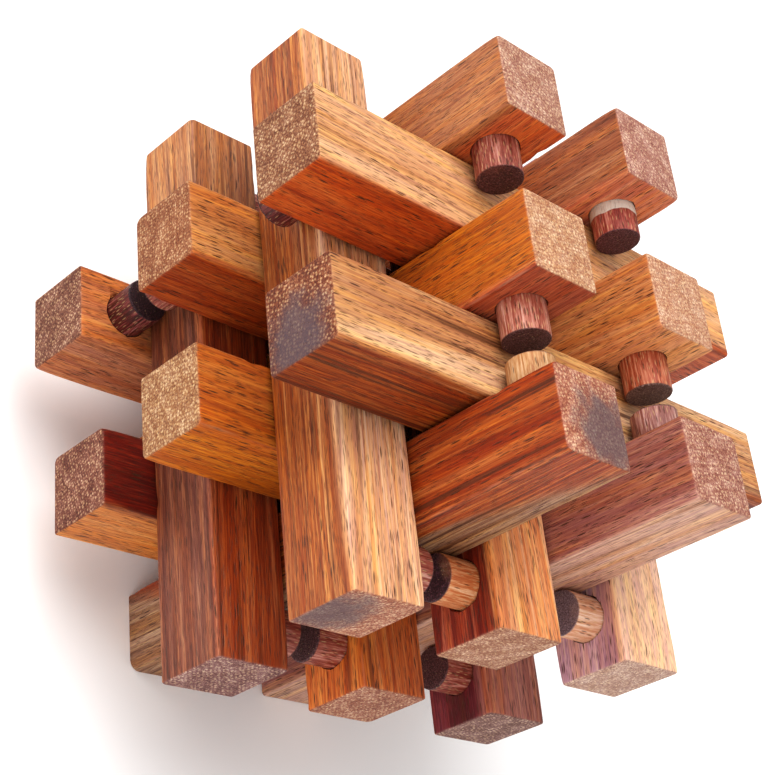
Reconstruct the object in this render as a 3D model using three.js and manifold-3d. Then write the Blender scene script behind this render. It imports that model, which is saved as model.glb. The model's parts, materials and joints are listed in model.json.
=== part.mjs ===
// Eighteen-stick wooden burr puzzle, in millimetres, +Z up.
//
// Three families of six square sticks cross at right angles: keys along X, crossbars along Y and
// uprights along Z. Short dowel pegs near the stick ends hook over the neighbouring sticks. Uprights
// and crossbars have a peg at both ends and lock into a cage. Each key has one peg, so it slides out
// along X on that side. The uprights stand on the plane z = 0, and the origin is below the middle of
// the space that the puzzle fills.
import * as THREE from 'three';
import { mergeVertices } from 'three/addons/utils/BufferGeometryUtils.js';
import Module from 'manifold-3d';

// Driving dimensions
const stickWidth = 15;
const stickGap = 1; // air between two sticks that cross
const edgeChamfer = 0.6;
const pegDiameter = 8.4;
const pegSeat = 8; // depth of peg inside its stick
const pegTipGap = 3.4; // air between the tips of two pegs that face each other
const pegPlay = 0.3; // air between a peg and the stick that it hooks over
const pegChamfer = 0.4;
const glueGap = 0.3; // glue line round a peg and under it
const endMargin = 5.8; // wood left between a peg and the end of its stick
const keySlip = 4.4; // how far the loose key stands out of its seat
const pegSides = 20;

// Sizes that follow
const pitch = stickWidth + stickGap;
const outerLayer = 2 * pitch;
const pegPlace = outerLayer + stickWidth / 2 + pegPlay + pegDiameter / 2;
const halfLength = pegPlace + pegDiameter / 2 + endMargin;
const stickLength = 2 * halfLength;
const slotWidth = 2 * pitch - stickWidth;
const pegReach = (slotWidth - pegTipGap) / 2; // length of peg that shows

const axisX = new THREE.Vector3(1, 0, 0);
const axisY = new THREE.Vector3(0, 1, 0);
const axisZ = new THREE.Vector3(0, 0, 1);

const honey = 0xb5763f;
const amber = 0xbf7a35;
const russet = 0x9c5a30;
const umber = 0x7d4a34;
const dowelBrown = 0x7a3a2c;

const wasm = await Module();
wasm.setup();

function toSolid(geometry) {
  const bare = geometry.clone();
  bare.deleteAttribute('normal');
  bare.deleteAttribute('uv');
  const merged = mergeVertices(bare, 1e-4);
  return new wasm.Manifold(
    new wasm.Mesh({
      numProp: 3,
      vertProperties: new Float32Array(merged.attributes.position.array),
      triVerts: new Uint32Array(merged.index.array),
    }),
  );
}

function toGeometry(solid) {
  const { vertProperties, triVerts } = solid.getMesh();
  const geometry = new THREE.BufferGeometry();
  geometry.setAttribute('position', new THREE.BufferAttribute(new Float32Array(vertProperties), 3));
  geometry.setIndex(new THREE.BufferAttribute(new Uint32Array(triVerts), 1));
  geometry.computeVertexNormals();
  return geometry;
}

// A square bar along local X, centred, with every edge chamfered
function barGeometry() {
  const flat = stickWidth / 2 - edgeChamfer;
  const side = stickWidth / 2;
  const section = new THREE.Shape();
  section.moveTo(flat, -side);
  section.lineTo(side, -flat);
  section.lineTo(side, flat);
  section.lineTo(flat, side);
  section.lineTo(-flat, side);
  section.lineTo(-side, flat);
  section.lineTo(-side, -flat);
  section.lineTo(-flat, -side);
  section.closePath();
  const bar = new THREE.ExtrudeGeometry(section, {
    depth: stickLength - 2 * edgeChamfer,
    bevelEnabled: true,
    bevelSegments: 1,
    bevelSize: edgeChamfer,
    bevelOffset: -edgeChamfer,
    bevelThickness: edgeChamfer,
  });
  bar.translate(0, 0, edgeChamfer - halfLength);
  bar.rotateY(Math.PI / 2);
  return bar;
}

// The blind hole for a peg at one end of a stick: it opens on the local +Z face
function holeGeometry(end) {
  const depth = pegSeat + glueGap;
  const radius = pegDiameter / 2 + glueGap;
  const mouth = 1; // the cutter runs past the face
  const hole = new THREE.CylinderGeometry(radius, radius, depth + mouth, pegSides);
  hole.rotateX(Math.PI / 2);
  hole.translate(end * pegPlace, 0, stickWidth / 2 - (depth - mouth) / 2);
  return hole;
}

function stickGeometry(pegEnds) {
  let stick = toSolid(barGeometry());
  for (const end of pegEnds) {
    stick = stick.subtract(toSolid(holeGeometry(end)));
  }
  return toGeometry(stick);
}

// A dowel peg in local axes of its stick, with its free end chamfered
function pegGeometry(end) {
  const radius = pegDiameter / 2;
  const length = pegSeat + pegReach;
  const outline = [
    new THREE.Vector2(0, 0),
    new THREE.Vector2(radius, 0),
    new THREE.Vector2(radius, length - pegChamfer),
    new THREE.Vector2(radius - pegChamfer, length),
    new THREE.Vector2(0, length),
  ];
  const peg = new THREE.LatheGeometry(outline, pegSides);
  peg.rotateX(Math.PI / 2);
  peg.translate(end * pegPlace, 0, stickWidth / 2 - pegSeat);
  return peg;
}

function wood(color) {
  return new THREE.MeshStandardMaterial({ color, roughness: 0.55, metalness: 0 });
}

function namedMesh(name, geometry, color) {
  const mesh = new THREE.Mesh(geometry, wood(color));
  mesh.name = name;
  return mesh;
}

// One stick with its pegs. It lies along family.along, and its pegs point along family.stack, towards
// the middle from the lowest of the three layers and downwards from the other two.
function pegStick(family, number, place, pegEnds, color) {
  const pegTurn = place.layer < 0 ? 1 : -1;
  const pegWay = family.stack.clone().multiplyScalar(pegTurn);
  const across = pegWay.clone().cross(family.along);
  const name = `${family.name}_${number}`;
  const group = new THREE.Group();
  group.quaternion.setFromRotationMatrix(new THREE.Matrix4().makeBasis(family.along, across, pegWay));
  group.position
    .addScaledVector(family.stack, place.layer * outerLayer)
    .addScaledVector(family.spread, place.row * pitch);
  group.add(namedMesh(name, stickGeometry(pegEnds.map(({ end }) => end)), color));
  for (const { end, label } of pegEnds) {
    group.add(namedMesh(`${name}_${label}`, pegGeometry(end), dowelBrown));
  }
  return group;
}

const keys = { name: 'key', along: axisX, stack: axisZ, spread: axisY };
const uprights = { name: 'upright', along: axisZ, stack: axisY, spread: axisX };
const crossbars = { name: 'crossbar', along: axisY, stack: axisX, spread: axisZ };

const keyPlaces = [1, 0, -1].flatMap((layer) => [1, -1].map((row) => ({ layer, row })));
const uprightPlaces = [-1, 1].flatMap((row) => [1, 0, -1].map((layer) => ({ layer, row })));
const crossbarPlaces = [-1, 0, 1].flatMap((layer) => [1, -1].map((row) => ({ layer, row })));

const keyColors = [honey, honey, honey, amber, russet, umber];
const uprightColors = [honey, amber, russet, honey, amber, umber];
const crossbarColors = [honey, umber, russet, amber, honey, umber];

const lattice = new THREE.Group();

// Keys of the back row have their peg at the -X end, those of the front row at the +X end. The last
// one is loose and has slipped out of its seat.
keyPlaces.forEach((place, i) => {
  const pegEnds = [{ end: place.row > 0 ? -1 : 1, label: 'peg' }];
  const key = pegStick(keys, i + 1, place, pegEnds, keyColors[i]);
  if (i === keyPlaces.length - 1) {
    key.position.x += keySlip;
  }
  lattice.add(key);
});

uprightPlaces.forEach((place, i) => {
  const pegEnds = [{ end: 1, label: 'peg_top' }, { end: -1, label: 'peg_bottom' }];
  lattice.add(pegStick(uprights, i + 1, place, pegEnds, uprightColors[i]));
});

crossbarPlaces.forEach((place, i) => {
  const pegEnds = [{ end: -1, label: 'peg_front' }, { end: 1, label: 'peg_back' }];
  lattice.add(pegStick(crossbars, i + 1, place, pegEnds, crossbarColors[i]));
});

lattice.position.set(-keySlip / 2, 0, halfLength);

const puzzle = new THREE.Group();
puzzle.add(lattice);

export default puzzle;
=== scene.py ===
import json
import math
import random

import bmesh
import bpy
from mathutils import Matrix, Vector, noise


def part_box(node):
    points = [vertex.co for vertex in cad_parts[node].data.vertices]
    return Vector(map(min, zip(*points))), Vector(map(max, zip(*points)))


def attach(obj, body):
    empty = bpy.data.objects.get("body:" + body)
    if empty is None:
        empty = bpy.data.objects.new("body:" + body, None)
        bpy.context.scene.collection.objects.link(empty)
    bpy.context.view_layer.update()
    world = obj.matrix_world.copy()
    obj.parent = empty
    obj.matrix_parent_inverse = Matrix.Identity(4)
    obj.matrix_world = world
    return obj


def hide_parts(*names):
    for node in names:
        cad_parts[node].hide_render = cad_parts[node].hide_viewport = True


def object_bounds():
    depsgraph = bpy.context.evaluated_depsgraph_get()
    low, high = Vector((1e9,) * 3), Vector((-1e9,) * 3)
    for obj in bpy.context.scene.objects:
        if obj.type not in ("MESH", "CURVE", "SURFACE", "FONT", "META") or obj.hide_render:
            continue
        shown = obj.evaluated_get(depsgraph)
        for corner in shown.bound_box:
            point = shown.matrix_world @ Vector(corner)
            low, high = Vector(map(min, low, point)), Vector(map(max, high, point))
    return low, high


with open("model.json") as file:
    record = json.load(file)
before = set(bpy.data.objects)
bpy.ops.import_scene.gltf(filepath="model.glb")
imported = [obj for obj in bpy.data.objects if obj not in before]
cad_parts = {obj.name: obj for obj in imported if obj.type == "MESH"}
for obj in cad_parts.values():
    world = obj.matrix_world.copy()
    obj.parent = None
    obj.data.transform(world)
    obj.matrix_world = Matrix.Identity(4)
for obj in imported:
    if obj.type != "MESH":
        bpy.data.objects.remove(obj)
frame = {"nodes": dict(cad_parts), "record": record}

cad_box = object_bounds()

MM = 0.001  # the script's own sizes are in millimetres

# ---------------------------------------------------------------- camera and view
VIEW_AZIMUTH = math.radians(-53.21)
VIEW_ELEVATION = math.radians(36.86)
VIEW_ROLL = math.radians(59.4)
VIEW_DISTANCE = 298 * MM
VIEW_TARGET = Vector((-3.5, 3.3, 52.8)) * MM
VIEW_LENS = 73.5

# ---------------------------------------------------------------- wear and shape of the sticks
EDGE_RADIUS = 0.42
EDGE_UNEVEN = 0.18  # how much the edge radius wanders
MIN_RADIUS = 0.25
CHIP_RADIUS = 1.1  # radius of an edge in the middle of a chip
CHIPS_PER_EDGE = 2  # at most
CHIP_WIDTHS = (0.5, 1.6)
CHIP_REACH = 0.98  # share of the half length where chips may lie
END_RADIUS = 0.4
CORNER_WEAR = 0.9  # most that a corner is rounded further
CORNER_FADE = 1.6  # how far along the edge a corner's wear reaches
KNOCKED_STICK = "upright_3"  # one corner of its foot is worn round
KNOCKED_CORNER = 1.9
ARC_STEPS = 4
END_STEPS = 4
FLAT_STOPS = (0.07, 0.3, 0.5, 0.7, 0.93)  # vertices across a flat side, as shares of its width
STATIONS = 60  # steps along a stick between its ends
END_MARGIN = 0.8  # from the rounded end to the first of them
SHARP_ANGLE = math.radians(40)

# ---------------------------------------------------------------- shape of the pegs
HOLE_GAP = 0.12  # between a peg and the wall of its hole
HOLE_MOUTH = 0.5  # depth from which the hole's wall is ragged
RIM_CHIP = 0.3  # how ragged a hole's mouth is
CUTTER_PROUD = 1.0  # how far a hole's cutter stands out of the stick
PEG_CUT_BACK = 0.25  # keeps an uneven cut end inside the peg's length
PEG_LEAN = (0.02, 0.05)  # slope of a cut end
PEG_RIM = 0.3  # radius of a peg's softened rims
PEG_THINNER = 0.06  # keeps the flutes inside the peg's radius
FLUTE_DEPTH = 0.05
CUT_END_RING = 0.6  # share of the radius where the cut end's inner ring lies
PEG_RINGS = 8
PEG_SEGMENTS = 56
CUT_SEGMENTS = 48
GLUED_PEG = "upright_4_peg_top"  # a ring of dried glue stands round its foot
GLUE_RISE = 1.9
GLUE_THICKNESS = 0.14


# ---------------------------------------------------------------- mesh helpers
def piece_from(name, bm, body, replaced):
    """A visible piece that rides on body in place of a CAD node."""
    bmesh.ops.recalc_face_normals(bm, faces=bm.faces)
    mesh = bpy.data.meshes.new(name)
    bm.to_mesh(mesh)
    bm.free()
    mesh.shade_smooth()
    mesh.set_sharp_from_angle(angle=SHARP_ANGLE)
    piece = bpy.data.objects.new(name, mesh)
    bpy.context.scene.collection.objects.link(piece)
    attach(piece, body)
    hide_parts(replaced)
    return piece


def close_tube(bm, rings):
    """Joins a row of rings of vertices and caps both ends."""
    count = len(rings[0])
    for low, high in zip(rings, rings[1:]):
        for i in range(count):
            j = (i + 1) % count
            bm.faces.new((low[i], low[j], high[j], high[i]))
    bm.faces.new(list(reversed(rings[0])))
    bm.faces.new(rings[-1])


def smooth_noise(seed, x):
    """Gentle noise from -1 to 1 along x."""
    return noise.noise(Vector((x, seed * 7.31, seed * 3.17)))


# ---------------------------------------------------------------- sticks
class StickFrame:
    """A stick's own axes: s runs along it, u and v across it, in millimetres from its centre."""

    def __init__(self, node):
        low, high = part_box(node)
        self.node = node
        self.centre = (low + high) / 2
        size = (high - low) / MM
        self.axis = max(range(3), key=lambda i: size[i])
        self.half = size[self.axis] / 2
        self.side = size[(self.axis + 1) % 3] / 2

    def point(self, s, u, v):
        out = [0.0, 0.0, 0.0]
        out[self.axis] = s
        out[(self.axis + 1) % 3] = u
        out[(self.axis + 2) % 3] = v
        return self.centre + Vector(out) * MM


def edge_radius(seed, corner, s, chips):
    """Radius of one long edge at s: uneven, and larger where it is chipped."""
    radius = EDGE_RADIUS + EDGE_UNEVEN * smooth_noise(seed + corner * 0.37, s * 0.11)
    for place, width in chips[corner]:
        radius += (CHIP_RADIUS - EDGE_RADIUS) * math.exp(-(((s - place) / width) ** 2))
    return max(radius, MIN_RADIUS)


def section(stick, seed, s, inset, chips, wear):
    """The stick's rounded square outline at s, pulled in by inset."""
    reach = stick.side - inset
    corners = []
    for corner, (su, sv, start) in enumerate(((1, -1, -90), (1, 1, 0), (-1, 1, 90), (-1, -1, 180))):
        end_side = 0 if s < 0 else 1
        fade = math.exp(-((stick.half - abs(s)) / CORNER_FADE))
        radius = edge_radius(seed, corner, s, chips) + wear[end_side][corner] * fade
        centre_u = su * (reach - radius)
        centre_v = sv * (reach - radius)
        arc = []
        for step in range(ARC_STEPS + 1):
            angle = math.radians(start + 90 * step / ARC_STEPS)
            arc.append((centre_u + radius * math.cos(angle), centre_v + radius * math.sin(angle)))
        corners.append(arc)
    outline = []
    for corner in range(4):
        arc = corners[corner]
        following = corners[(corner + 1) % 4][0]
        outline.extend(arc)
        for stop in FLAT_STOPS:
            outline.append(tuple(a + (b - a) * stop for a, b in zip(arc[-1], following)))
    return outline


def stations(stick):
    """Places along the stick with their inset: rounded at both ends, evenly spaced between."""
    rounding = []
    for step in range(END_STEPS + 1):
        angle = math.radians(90 * step / END_STEPS)
        rounding.append((END_RADIUS * (1 - math.sin(angle)), END_RADIUS * (1 - math.cos(angle))))
    places = [(-stick.half + gap, inset) for inset, gap in rounding]
    inner = stick.half - END_RADIUS - END_MARGIN
    for step in range(STATIONS + 1):
        places.append((-inner + 2 * inner * step / STATIONS, 0.0))
    places.extend((stick.half - gap, inset) for inset, gap in reversed(rounding))
    return places


def stick_mesh(stick, seed):
    """A closed bar with rounded, chipped edges and worn corners."""
    rng = random.Random(seed)
    chips = []
    for _ in range(4):
        count = rng.randint(0, CHIPS_PER_EDGE)
        edge = []
        for _ in range(count):
            place = rng.uniform(-CHIP_REACH, CHIP_REACH) * stick.half
            edge.append((place, rng.uniform(*CHIP_WIDTHS)))
        chips.append(edge)
    wear = [[CORNER_WEAR * rng.random() ** 2 for _ in range(4)] for _ in range(2)]
    if stick.node == KNOCKED_STICK:
        wear[0][3] = KNOCKED_CORNER
    bm = bmesh.new()
    rings = []
    for s, inset in stations(stick):
        outline = section(stick, seed, s, inset, chips, wear)
        rings.append([bm.verts.new(stick.point(s, u, v)) for u, v in outline])
    close_tube(bm, rings)
    return bm


# ---------------------------------------------------------------- pegs
class PegFrame:
    """A peg's axis, radius and the face of the stick that it stands on."""

    def __init__(self, node, stick):
        low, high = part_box(node)
        self.node = node
        self.centre = (low + high) / 2
        size = (high - low) / MM
        self.axis = max(range(3), key=lambda i: size[i])
        self.radius = min(size) / 2
        offset = self.centre[self.axis] - stick.centre[self.axis]
        self.way = 1 if offset > 0 else -1
        self.face = stick.centre[self.axis] / MM + self.way * stick.side
        self.tip = (high if self.way > 0 else low)[self.axis] / MM
        self.foot = (low if self.way > 0 else high)[self.axis] / MM

    def point(self, height, radius, angle):
        """height is along the peg from the face of its stick, outwards."""
        out = [0.0, 0.0, 0.0]
        out[self.axis] = self.face + self.way * height
        out[(self.axis + 1) % 3] = self.centre[(self.axis + 1) % 3] / MM + radius * math.cos(angle)
        out[(self.axis + 2) % 3] = self.centre[(self.axis + 2) % 3] / MM + radius * math.sin(angle)
        return Vector(out) * MM


def turned(bm, peg, profile, segments, spread):
    """A closed turned shape: profile is a list of (height, radius); spread varies the radius."""
    rings = []
    for height, radius in profile:
        ring = []
        for i in range(segments):
            angle = 2 * math.pi * i / segments
            ring.append(bm.verts.new(peg.point(height, radius + spread(height, angle), angle)))
        rings.append(ring)
    close_tube(bm, rings)
    return rings


def hole_cutter(peg, seed, rim):
    """The peg's hole with a ragged mouth, as a separate closed mesh."""
    radius = peg.radius + HOLE_GAP
    depth = abs(peg.foot - peg.face) + HOLE_GAP

    def spread(height, angle):
        if height < -HOLE_MOUTH:
            return 0.0
        low = smooth_noise(seed, 3 * math.cos(angle))
        high = smooth_noise(seed + 5, 4 * math.sin(angle))
        ragged = max(0.0, low + high)
        return rim * ragged * (height + HOLE_MOUTH) / HOLE_MOUTH if height < 0 else rim * ragged

    bm = bmesh.new()
    profile = [(height, radius) for height in (-depth, -HOLE_MOUTH, -0.15, 0.0, CUTTER_PROUD)]
    turned(bm, peg, profile, CUT_SEGMENTS, spread)
    bmesh.ops.recalc_face_normals(bm, faces=bm.faces)
    mesh = bpy.data.meshes.new("cutter")
    bm.to_mesh(mesh)
    bm.free()
    cutter = bpy.data.objects.new("cutter", mesh)
    bpy.context.scene.collection.objects.link(cutter)
    return cutter


def cut_holes(piece, pegs, seed, rim):
    """Cuts the pegs' holes into a stick, with the modifier's result applied to its mesh."""
    for i, peg in enumerate(pegs):
        cutter = hole_cutter(peg, seed + i, rim)
        cut = piece.modifiers.new("hole", "BOOLEAN")
        cut.operation = "DIFFERENCE"
        cut.solver = "MANIFOLD"
        cut.object = cutter
        depsgraph = bpy.context.evaluated_depsgraph_get()
        result = bpy.data.meshes.new_from_object(piece.evaluated_get(depsgraph))
        piece.modifiers.clear()
        old = piece.data
        piece.data = result
        bpy.data.meshes.remove(old)
        bpy.data.objects.remove(cutter)
    piece.data.shade_smooth()
    piece.data.set_sharp_from_angle(angle=SHARP_ANGLE)


def peg_mesh(peg, seed):
    """A hand-cut dowel: slightly fluted, with a softened rim and a slightly uneven cut end."""
    rng = random.Random(seed)
    reach = abs(peg.tip - peg.face)
    foot = -abs(peg.foot - peg.face)
    tilt_angle = rng.uniform(0, 2 * math.pi)
    tilt = rng.uniform(*PEG_LEAN)

    def spread(height, angle):
        flutes = smooth_noise(seed, 9 * math.cos(angle)) + smooth_noise(seed + 2, 9 * math.sin(angle))
        glue = GLUE_THICKNESS if peg.node == GLUED_PEG and 0 < height < GLUE_RISE else 0.0
        return FLUTE_DEPTH * flutes + glue - PEG_THINNER

    bm = bmesh.new()
    radius = peg.radius
    top = reach - PEG_CUT_BACK
    start = foot + PEG_RIM
    shaft = top - PEG_RIM - start
    profile = [(foot, radius - PEG_RIM), (start, radius)]
    profile += [(start + shaft * i / PEG_RINGS, radius) for i in range(1, PEG_RINGS + 1)]
    for angle in (math.radians(30), math.radians(60), math.radians(90)):
        height = top - PEG_RIM + PEG_RIM * math.sin(angle)
        profile.append((height, radius - PEG_RIM * (1 - math.cos(angle))))
    profile.append((top, radius * CUT_END_RING))
    rings = turned(bm, peg, profile, PEG_SEGMENTS, spread)
    for ring in rings[-5:]:  # the rim and the cut end lean a little
        for i, vert in enumerate(ring):
            angle = 2 * math.pi * i / PEG_SEGMENTS
            lean = tilt * math.cos(angle - tilt_angle) * peg.radius
            vert.co[peg.axis] += peg.way * lean * MM
    return bm


# ---------------------------------------------------------------- node helpers
class Tree:
    """Short calls for building a material's node tree."""

    def __init__(self, material):
        material.use_nodes = True
        self.tree = material.node_tree
        self.nodes = self.tree.nodes
        self.links = self.tree.links
        self.nodes.clear()

    def put(self, target, value):
        if isinstance(value, bpy.types.NodeSocket):
            self.links.new(value, target)
        elif value is not None:
            target.default_value = value

    def add(self, kind, settings=None, **inputs):
        node = self.nodes.new(kind)
        for key, value in (settings or {}).items():
            setattr(node, key, value)
        for key, value in inputs.items():
            self.put(node.inputs[key.replace("_", " ")], value)
        return node

    def math(self, operation, a, b=None, c=None):
        node = self.nodes.new("ShaderNodeMath")
        node.operation = operation
        for socket, value in zip(node.inputs, (a, b, c)):
            self.put(socket, value)
        return node.outputs[0]

    def vector(self, operation, a, b=None):
        node = self.nodes.new("ShaderNodeVectorMath")
        node.operation = operation
        self.put(node.inputs[0], a)
        self.put(node.inputs[1], b)
        return node.outputs["Value" if operation in ("LENGTH", "DOT_PRODUCT") else "Vector"]

    def noise(self, vector, scale, detail=2.0, roughness=0.5):
        node = self.add("ShaderNodeTexNoise", {"noise_dimensions": "3D"})
        self.put(node.inputs["Vector"], self.vector("MULTIPLY", vector, scale))
        node.inputs["Scale"].default_value = 1.0
        node.inputs["Detail"].default_value = detail
        node.inputs["Roughness"].default_value = roughness
        return node.outputs["Fac"]

    def noise_1d(self, w, detail=2.0, roughness=0.5):
        node = self.add("ShaderNodeTexNoise", {"noise_dimensions": "1D"})
        self.put(node.inputs["W"], w)
        node.inputs["Scale"].default_value = 1.0
        node.inputs["Detail"].default_value = detail
        node.inputs["Roughness"].default_value = roughness
        return node.outputs["Fac"]

    def cells(self, vector, scale, randomness=1.0):
        """Distance to the nearest of a field of scattered points."""
        node = self.add("ShaderNodeTexVoronoi", {"feature": "F1"})
        self.put(node.inputs["Vector"], self.vector("MULTIPLY", vector, scale))
        node.inputs["Scale"].default_value = 1.0
        node.inputs["Randomness"].default_value = randomness
        return node.outputs["Distance"]

    def ramp(self, value, low, high, to_low=0.0, to_high=1.0):
        node = self.add("ShaderNodeMapRange", {"interpolation_type": "SMOOTHSTEP"})
        self.put(node.inputs["Value"], value)
        self.put(node.inputs["From Min"], low)
        self.put(node.inputs["From Max"], high)
        self.put(node.inputs["To Min"], to_low)
        self.put(node.inputs["To Max"], to_high)
        return node.outputs["Result"]

    def mix(self, factor, a, b, blend="MIX"):
        node = self.nodes.new("ShaderNodeMix")
        node.data_type = "RGBA"
        node.blend_type = blend
        self.put(node.inputs["Factor"], factor)
        self.put(node.inputs[6], a)
        self.put(node.inputs[7], b)
        return node.outputs[2]

    def finish(self, color, roughness, bump):
        shader = self.add("ShaderNodeBsdfPrincipled")
        self.put(shader.inputs["Base Color"], color)
        self.put(shader.inputs["Roughness"], roughness)
        self.put(shader.inputs["Normal"], bump)
        output = self.add("ShaderNodeOutputMaterial")
        self.links.new(shader.outputs["BSDF"], output.inputs["Surface"])
        return shader


def rgb(red, green, blue):
    """A colour as seen on screen, 0 to 255, for a shader socket."""

    def linear(value):
        value /= 255
        return value / 12.92 if value <= 0.04045 else ((value + 0.055) / 1.055) ** 2.4

    return (linear(red), linear(green), linear(blue), 1.0)


# ---------------------------------------------------------------- wood
PORE_TONE = rgb(78, 42, 24)
DOT_TONE = rgb(216, 184, 132)  # the pale dots of end grain
GLOW_TONE = rgb(222, 203, 150)  # laid over the fibres as a soft light
LIGHT_FIBRE = (1.18, 1.16, 0.86, 1.0)  # golden, as a factor on the colour
DARK_FIBRE = (0.84, 0.78, 0.98, 1.0)  # plum, as a factor on the colour
STAIN_TONE = rgb(88, 75, 82)


class Tone:
    """One stick's wood: a main colour, a second one on its `side`, and how streaky it is. These and the `end`
    colour are partly the wood's own tones and partly painted light and shade of the faces that they cover.

    `tip` is the colour that the stick turns to towards its far end, and `end` that of its two sawn
    ends. `stain` is the place of a grey stain, in millimetres from the stick's centre, and `rim` is
    how ragged the mouths of its holes are.
    """

    def __init__(self, main, second, side, streaks, bands, end, stain=None, rim=RIM_CHIP, tip=None):
        self.main = rgb(*main)
        self.second = rgb(*second)
        self.side = Vector(side).normalized()
        self.streaks = streaks
        self.bands = bands
        self.end = rgb(*end)
        self.stain = stain
        self.rim = rim
        self.tip = rgb(*tip) if tip else None


FRONT_LOW = (0, -1, -1)  # side of a key: its front and underside
FRONT_RIGHT = (1, -1, 0)  # side of an upright
LEFT_LOW = (-1, 0, -1)  # side of a crossbar

# Most of these tones were not chosen by hand: a separate program worked them out from colours measured in a
# photograph and in renders.
# Painted light and shade: each stick's main, second and end colours were set for the faces they mostly cover,
# so part of the difference between a stick's top, sides and ends is shading baked into the colour rather than
# the wood's own tone.
TONES = {
    "key_1": Tone((208, 162, 124), (184, 88, 36), FRONT_LOW, 0.4, 0.3, (160, 116, 88)),
    "key_2": Tone((194, 148, 110), (146, 74, 30), FRONT_LOW, 1.0, 0.7, (144, 88, 60), (-54, -4, -1)),
    "key_3": Tone((192, 132, 80), (166, 80, 32), FRONT_LOW, 0.3, 0.3, (164, 114, 82)),
    "key_4": Tone((176, 100, 36), (180, 100, 20), FRONT_LOW, 0.2, 0.2, (176, 136, 102)),
    "key_5": Tone((190, 122, 80), (180, 114, 82), FRONT_LOW, 0.3, 0.2, (144, 100, 82), rim=1.1),
    "key_6": Tone((108, 30, 18), (196, 126, 64), FRONT_LOW, 0.2, 0.3, (140, 92, 76)),
    "upright_1": Tone((172, 114, 76), (198, 104, 60), FRONT_RIGHT, 0.2, 0.2, (188, 148, 132)),
    "upright_2": Tone((182, 106, 28), (172, 88, 60), FRONT_RIGHT, 0.2, 0.3, (200, 160, 132)),
    "upright_3": Tone((156, 74, 28), (152, 114, 88), (1, -1, -0.25), 1.0, 0.6, (186, 136, 116), (3, -2, 54)),
    "upright_4": Tone((168, 104, 66), (208, 128, 98), FRONT_RIGHT, 0.6, 0.3, (186, 144, 132)),
    "upright_5": Tone((208, 142, 92), (224, 162, 116), FRONT_RIGHT, 0.3, 0.3, (200, 160, 136)),
    "upright_6": Tone((168, 112, 102), (196, 156, 140), FRONT_RIGHT, 0.5, 0.3, (180, 136, 122)),
    "crossbar_1": Tone((212, 168, 136), (162, 96, 48), LEFT_LOW, 0.7, 0.8, (184, 134, 112), (-5, -54, -1)),
    "crossbar_2": Tone((150, 72, 38), (128, 74, 54), LEFT_LOW, 0.8, 0.5, (150, 112, 108), tip=(180, 126, 86)),
    "crossbar_3": Tone((224, 164, 120), (132, 50, 30), LEFT_LOW, 0.3, 1.0, (180, 138, 116)),
    "crossbar_4": Tone((204, 120, 68), (200, 112, 46), LEFT_LOW, 0.7, 0.5, (172, 124, 104)),
    # crossbar_5: its pale colours are partly painted haze, a glare of light washed over the stick.
    "crossbar_5": Tone((236, 198, 176), (180, 140, 150), LEFT_LOW, 0.2, 0.2, (192, 162, 150)),
    "crossbar_6": Tone((178, 120, 108), (110, 36, 48), LEFT_LOW, 0.5, 0.5, (148, 114, 108)),
}


def local_space(tree, centre, axis):
    """Object coordinates as (along, across, across) in millimetres from centre, and their parts."""
    coord = tree.add("ShaderNodeTexCoord").outputs["Object"]
    scaled = tree.vector("MULTIPLY", tree.vector("SUBTRACT", coord, tuple(centre)), (1 / MM,) * 3)
    parts = tree.add("ShaderNodeSeparateXYZ")
    tree.put(parts.inputs[0], scaled)
    joined = tree.add("ShaderNodeCombineXYZ")
    order = (axis, (axis + 1) % 3, (axis + 2) % 3)
    for socket, i in zip(joined.inputs, order):
        tree.put(socket, parts.outputs[i])
    return scaled, joined.outputs[0], [parts.outputs[i] for i in order]


def end_distances(tree, stick, parts):
    """Millimetres to the nearer end, and to the nearest edge."""
    gaps = []
    for part, half in zip(parts, (stick.half, stick.side, stick.side)):
        gaps.append(tree.math("SUBTRACT", half, tree.math("ABSOLUTE", part)))
    low = tree.math("MINIMUM", gaps[1], gaps[2])
    high = tree.math("MAXIMUM", gaps[1], gaps[2])
    return gaps[0], tree.math("MINIMUM", high, tree.math("MAXIMUM", low, gaps[0]))


def growth_bands(tree, turned_place, grain, rng):
    """Irregular rings round a pith outside the stick, from 0 to 1."""
    bend = tree.math("MULTIPLY_ADD", tree.noise(grain, (0.011, 0.05, 0.05), 2.0), 9.0, -4.5)
    angle = rng.uniform(0, 2 * math.pi)
    far = rng.uniform(25, 60)
    pith = (0.0, far * math.cos(angle), far * math.sin(angle))
    flat = tree.vector("MULTIPLY", tree.vector("ADD", turned_place, pith), (0.0, 1.0, 1.0))
    radius = tree.math("ADD", tree.vector("LENGTH", flat), bend)
    bands = tree.noise_1d(tree.math("MULTIPLY", radius, rng.uniform(0.45, 0.75)), 3.0, 0.65)
    return tree.ramp(bands, 0.34, 0.64)


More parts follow.
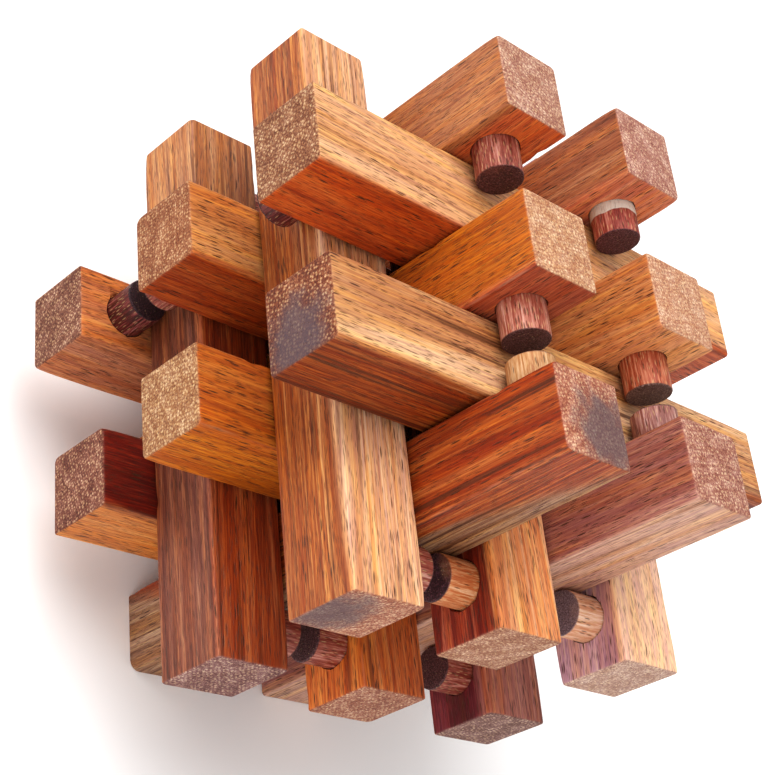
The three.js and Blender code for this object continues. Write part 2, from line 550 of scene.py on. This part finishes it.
def side_wood(tree, tone, scaled, along, grain, bands):
    """Colour, fibres and pores of the long faces."""
    warp = tree.math("MULTIPLY_ADD", tree.noise(grain, (0.01, 0.16, 0.16), 2.0), 7.0, -3.5)
    across = tree.math("ADD", tree.vector("DOT_PRODUCT", scaled, tuple(tone.side)), warp)
    color = tree.mix(tree.ramp(across, -1.2, 1.2), tone.main, tone.second)
    if tone.tip:
        color = tree.mix(tree.ramp(along, 14.0, 30.0), color, tone.tip)
    broad = tree.noise(grain, (0.007, 0.1, 0.1), 2.0)
    streaky = tree.noise(grain, (0.012, 0.9, 0.9), 3.0, 0.6)
    fine = tree.noise(grain, (0.09, 3.4, 3.4), 3.0, 0.7)
    shade = tree.math("MULTIPLY_ADD", bands, 0.6 * tone.bands, 0.96 - 0.22 * tone.bands)
    shade = tree.math("ADD", shade, tree.ramp(broad, 0.3, 0.7, -0.06, 0.12))
    swing = 0.06 + 0.12 * tone.streaks
    shade = tree.math("ADD", shade, tree.ramp(streaky, 0.35, 0.7, -0.5 * swing, swing))
    shade = tree.math("ADD", shade, tree.ramp(fine, 0.28, 0.72, -0.14, 0.18))
    color = tree.add("ShaderNodeGamma", Color=color, Gamma=shade).outputs[0]
    dark_line = tree.ramp(streaky, 0.55, 0.68, 0.0, 0.75 * tone.streaks)
    color = tree.mix(dark_line, color, PORE_TONE)
    tint = tree.mix(tree.ramp(fine, 0.25, 0.75), LIGHT_FIBRE, DARK_FIBRE)
    color = tree.mix(1.0, color, tint, "MULTIPLY")
    glow = tree.ramp(tree.noise(grain, (0.03, 0.5, 0.5), 2.0), 0.4, 0.7, 0.0, 0.7)
    color = tree.mix(glow, color, GLOW_TONE, "SOFT_LIGHT")
    near = tree.cells(grain, (0.2, 1.8, 1.8))
    pore = tree.ramp(near, 0.13, 0.3, 1.0, 0.0)
    clump = tree.ramp(tree.noise(grain, (0.03, 0.35, 0.35), 2.0), 0.4, 0.58, 0.1, 1.0)
    pore = tree.math("MULTIPLY", pore, clump)
    near_small = tree.cells(grain, (0.36, 3.8, 3.8))
    pore = tree.math("MAXIMUM", pore, tree.ramp(near_small, 0.12, 0.38, 0.62, 0.0))
    return tree.mix(tree.math("MULTIPLY", pore, 0.94), color, PORE_TONE), fine, pore


def end_wood(tree, tone, scaled, grain, bands):
    """Colour and pattern of the sawn ends: rows of pale cells, open pores, perhaps a grey stain."""
    speck = tree.noise(grain, (0.5, 3.0, 3.0), 3.0, 0.75)
    patch = tree.noise(grain, (0.05, 0.3, 0.3), 2.0)
    near = tree.cells(grain, (0.0, 1.5, 1.5), 0.55)
    shade = tree.math("MULTIPLY_ADD", bands, 0.22, 0.8)
    shade = tree.math("ADD", shade, tree.ramp(patch, 0.35, 0.65, -0.1, 0.2))
    shade = tree.math("ADD", shade, tree.ramp(speck, 0.3, 0.7, -0.35, 0.5))
    shade = tree.math("ADD", shade, tree.ramp(near, 0.2, 0.6, -0.15, 0.3))
    color = tree.add("ShaderNodeGamma", Color=tone.end, Gamma=shade).outputs[0]
    tint = tree.mix(tree.ramp(speck, 0.3, 0.7), LIGHT_FIBRE, DARK_FIBRE)
    color = tree.mix(0.8, color, tint, "MULTIPLY")
    color = tree.mix(tree.ramp(near, 0.12, 0.46, 0.36, 0.0), color, DOT_TONE)
    if tone.stain:
        away = tree.vector("LENGTH", tree.vector("SUBTRACT", scaled, tone.stain))
        ragged = tree.math("MULTIPLY_ADD", patch, 8.0, -4.0)
        color = tree.mix(tree.ramp(tree.math("ADD", away, ragged), 3.5, 9.5, 0.75, 0.0), color, STAIN_TONE)
    near_pore = tree.cells(tree.vector("ADD", grain, (31.0, 17.0, 5.0)), (0.3, 1.5, 1.5))
    pore = tree.ramp(near_pore, 0.1, 0.22, 0.7, 0.0)
    return tree.mix(pore, color, PORE_TONE), speck, pore


def wood_material(name, stick, tone, seed):
    rng = random.Random(seed)
    material = bpy.data.materials.new(name)
    tree = Tree(material)
    scaled, place, parts = local_space(tree, stick.centre, stick.axis)
    turn = tree.add("ShaderNodeVectorRotate", {"rotation_type": "EULER_XYZ"}, Vector=place)
    drift = [rng.uniform(-math.pi, math.pi), rng.gauss(0, 0.025), rng.gauss(0, 0.025)]
    turn.inputs["Rotation"].default_value = drift
    turned_place = turn.outputs[0]
    grain = tree.vector("ADD", turned_place, tuple(rng.uniform(-500, 500) for _ in range(3)))
    bands = growth_bands(tree, turned_place, grain, rng)
    side_color, fine, pore = side_wood(tree, tone, scaled, parts[0], grain, bands)
    end_color, speck, end_pore = end_wood(tree, tone, scaled, grain, bands)
    end_gap, edge_gap = end_distances(tree, stick, parts)
    on_end = tree.ramp(end_gap, 0.05, 0.3, 1.0, 0.0)
    color = tree.mix(on_end, side_color, end_color)
    patch = tree.noise(grain, (0.12, 0.5, 0.5), 2.0)
    wear = tree.math("MULTIPLY", tree.ramp(edge_gap, 0.1, 0.5, 0.3, 0.0), tree.ramp(patch, 0.4, 0.65))
    color = tree.mix(wear, color, tone.end)
    rough = tree.math("ADD", tree.ramp(fine, 0.3, 0.7, 0.42, 0.58), tree.math("MULTIPLY", on_end, 0.22))
    end_height = tree.math("SUBTRACT", tree.math("MULTIPLY", speck, 0.9), end_pore)
    side_height = tree.math("SUBTRACT", tree.math("MULTIPLY", fine, 0.35), pore)
    height = tree.math("ADD", side_height, tree.math("MULTIPLY", end_height, on_end))
    bump = tree.add("ShaderNodeBump", Strength=0.6, Distance=0.2 * MM, Height=height)
    shader = tree.finish(color, rough, bump.outputs[0])
    shader.inputs["Specular IOR Level"].default_value = 0.4
    return material


# ---------------------------------------------------------------- peg wood
PEG_TONE = ((158, 88, 72), (74, 34, 36))
PEG_TONES = {
    "upright_2_peg_top": ((176, 108, 88), (78, 40, 38)),
    "upright_3_peg_top": ((196, 150, 104), (150, 100, 70)),
    "upright_4_peg_top": ((160, 78, 62), (82, 38, 44)),
    "upright_5_peg_top": ((180, 102, 70), (102, 68, 58)),
    "upright_6_peg_top": ((164, 112, 102), (106, 68, 62)),
    "crossbar_3_peg_front": ((200, 134, 88), (62, 24, 32)),
    # Pale partly as painted haze, a glare of light washed over this peg.
    "crossbar_5_peg_front": ((214, 168, 138), (102, 80, 86)),
    # Dark partly as painted shade: deep shadow is painted into this peg's colour.
    "key_1_peg": ((114, 50, 44), (56, 26, 30)),
    "key_5_peg": ((100, 34, 30), (46, 16, 24)),
}
GLUE_TONE = rgb(214, 205, 192)


def peg_material(name, peg, seed):
    """Dowel wood: pale and dark fibres along the side, dense dark grain on the cut end."""
    rng = random.Random(seed)
    side, end = (rgb(*tone) for tone in PEG_TONES.get(peg.node, PEG_TONE))
    material = bpy.data.materials.new(name)
    tree = Tree(material)
    _, place, parts = local_space(tree, peg.centre, peg.axis)
    grain = tree.vector("ADD", place, tuple(rng.uniform(-300, 300) for _ in range(3)))
    fibre = tree.noise(grain, (0.16, 2.6, 2.6), 3.0, 0.7)
    broad = tree.noise(grain, (0.03, 0.4, 0.4), 2.0)
    shade = tree.math("ADD", tree.ramp(fibre, 0.3, 0.7, 1.5, 0.55), tree.ramp(broad, 0.3, 0.7, -0.12, 0.25))
    color = tree.add("ShaderNodeGamma", Color=side, Gamma=shade).outputs[0]
    near = tree.cells(grain, (0.3, 2.2, 2.2))
    pore = tree.ramp(near, 0.12, 0.3, 0.7, 0.0)
    color = tree.mix(pore, color, PORE_TONE)
    near_fleck = tree.cells(tree.vector("ADD", grain, (9.0, 5.0, 2.0)), (0.5, 2.6, 2.6))
    color = tree.mix(tree.ramp(near_fleck, 0.15, 0.35, 0.4, 0.0), color, DOT_TONE)
    tip = (peg.tip - peg.centre[peg.axis] / MM) * peg.way
    along = tree.math("MULTIPLY", parts[0], float(peg.way))
    to_tip = tree.math("SUBTRACT", tip, along)
    speck = tree.noise(grain, (0.5, 3.4, 3.4), 3.0, 0.75)
    end_shade = tree.ramp(speck, 0.3, 0.7, 1.35, 0.6)
    end_color = tree.add("ShaderNodeGamma", Color=end, Gamma=end_shade).outputs[0]
    near_dot = tree.cells(grain, (0.3, 1.3, 1.3))
    end_color = tree.mix(tree.ramp(near_dot, 0.06, 0.16, 0.5, 0.0), end_color, DOT_TONE)
    on_end = tree.ramp(to_tip, PEG_CUT_BACK + 0.1, PEG_CUT_BACK + 0.35, 1.0, 0.0)
    color = tree.mix(on_end, color, end_color)
    rough = tree.ramp(fibre, 0.3, 0.7, 0.42, 0.62)
    if peg.node == GLUED_PEG:
        ragged = tree.math("MULTIPLY_ADD", tree.noise(place, (0.2, 0.25, 0.25), 2.0), 1.4, GLUE_RISE - 0.7)
        above = tree.math("ADD", along, (peg.centre[peg.axis] / MM - peg.face) * peg.way)
        glue = tree.ramp(tree.math("SUBTRACT", above, ragged), -0.1, 0.1, 0.95, 0.0)
        color = tree.mix(glue, color, GLUE_TONE)
    height = tree.math("SUBTRACT", tree.math("ADD", fibre, tree.math("MULTIPLY", speck, on_end)), pore)
    bump = tree.add("ShaderNodeBump", Strength=0.7, Distance=0.25 * MM, Height=height)
    tree.finish(color, rough, bump.outputs[0])
    return material


def body_of(node):
    """The moving body that a CAD node belongs to."""
    bodies = frame["record"]["behaviour"]["bodies"]
    return next(body for body, members in bodies.items() if node in members)


def make_stick(node, tone, seed):
    """One stick with its pegs, in place of their CAD nodes."""
    stick = StickFrame(node)
    peg_nodes = sorted(n for n in frame["nodes"] if n.startswith(node + "_peg"))
    pegs = [PegFrame(n, stick) for n in peg_nodes]
    piece = piece_from(node + "_wood", stick_mesh(stick, seed), body_of(node), node)
    cut_holes(piece, pegs, seed * 10, tone.rim)
    piece.data.materials.clear()
    piece.data.materials.append(wood_material(node + "_wood", stick, tone, seed))
    for i, peg in enumerate(pegs):
        dowel = piece_from(peg.node + "_dowel", peg_mesh(peg, seed * 10 + i), body_of(peg.node), peg.node)
        dowel.data.materials.append(peg_material(peg.node + "_wood", peg, seed * 10 + i))


for number, (node, tone) in enumerate(TONES.items(), 1):
    make_stick(node, tone, number)


# ---------------------------------------------------------------- floor, light and camera
FLOOR_RADIUS = 4.0  # metres


def flat_material(name, color, roughness):
    material = bpy.data.materials.new(name)
    tree = Tree(material)
    tree.finish(color, roughness, None)
    return material


def make_floor():
    mesh = bpy.data.meshes.new("floor")
    bm = bmesh.new()
    bmesh.ops.create_circle(bm, cap_ends=True, segments=96, radius=FLOOR_RADIUS)
    bm.to_mesh(mesh)
    bm.free()
    floor = bpy.data.objects.new("floor", mesh)
    mesh.materials.append(flat_material("floor", (0.93, 0.93, 0.93, 1.0), 0.8))
    bpy.context.scene.collection.objects.link(floor)


def aimed_light(kind, name, place, target, power):
    data = bpy.data.lights.new(name, kind)
    data.energy = power
    light = bpy.data.objects.new(name, data)
    light.location = place
    light.rotation_mode = "QUATERNION"
    light.rotation_quaternion = (Vector(place) - target).to_track_quat("Z", "Y")
    bpy.context.scene.collection.objects.link(light)
    return data


def area_light(name, place, target, size, power):
    data = aimed_light("AREA", name, place, target, power)
    data.shape = "DISK"
    data.size = size


def soft_sun(name, place, target, angle, power):
    data = aimed_light("SUN", name, place, target, power)
    data.angle = angle


def make_world(strength):
    world = bpy.data.worlds.new("studio")
    world.use_nodes = True
    background = world.node_tree.nodes["Background"]
    background.inputs["Color"].default_value = (1, 1, 1, 1)
    background.inputs["Strength"].default_value = strength
    bpy.context.scene.world = world


def make_camera():
    data = bpy.data.cameras.new("camera")
    data.lens = VIEW_LENS
    data.sensor_width = 36
    data.clip_start = 0.01
    data.clip_end = 20
    camera = bpy.data.objects.new("camera", data)
    back = Vector((
        math.sin(VIEW_AZIMUTH) * math.cos(VIEW_ELEVATION),
        -math.cos(VIEW_AZIMUTH) * math.cos(VIEW_ELEVATION),
        math.sin(VIEW_ELEVATION),
    ))
    camera.location = VIEW_TARGET + back * VIEW_DISTANCE
    level = back.to_track_quat("Z", "Y").to_matrix()
    camera.rotation_mode = "QUATERNION"
    camera.rotation_quaternion = (level @ Matrix.Rotation(VIEW_ROLL, 3, "Z")).to_quaternion()
    bpy.context.scene.collection.objects.link(camera)
    bpy.context.scene.camera = camera


make_floor()
middle = (Vector(cad_box[0]) + Vector(cad_box[1])) / 2
soft_sun("key", middle + Vector((-0.4, 0.4, 0.84)), middle, angle=math.radians(50), power=2.6)
area_light("fill", middle + 0.9 * Vector((-0.6, -0.62, 0.5)), middle, size=0.5, power=3.0)
make_world(0.7)
make_camera()
bpy.context.scene.view_settings.view_transform = "Standard"
bpy.context.scene.view_settings.gamma = 0.85
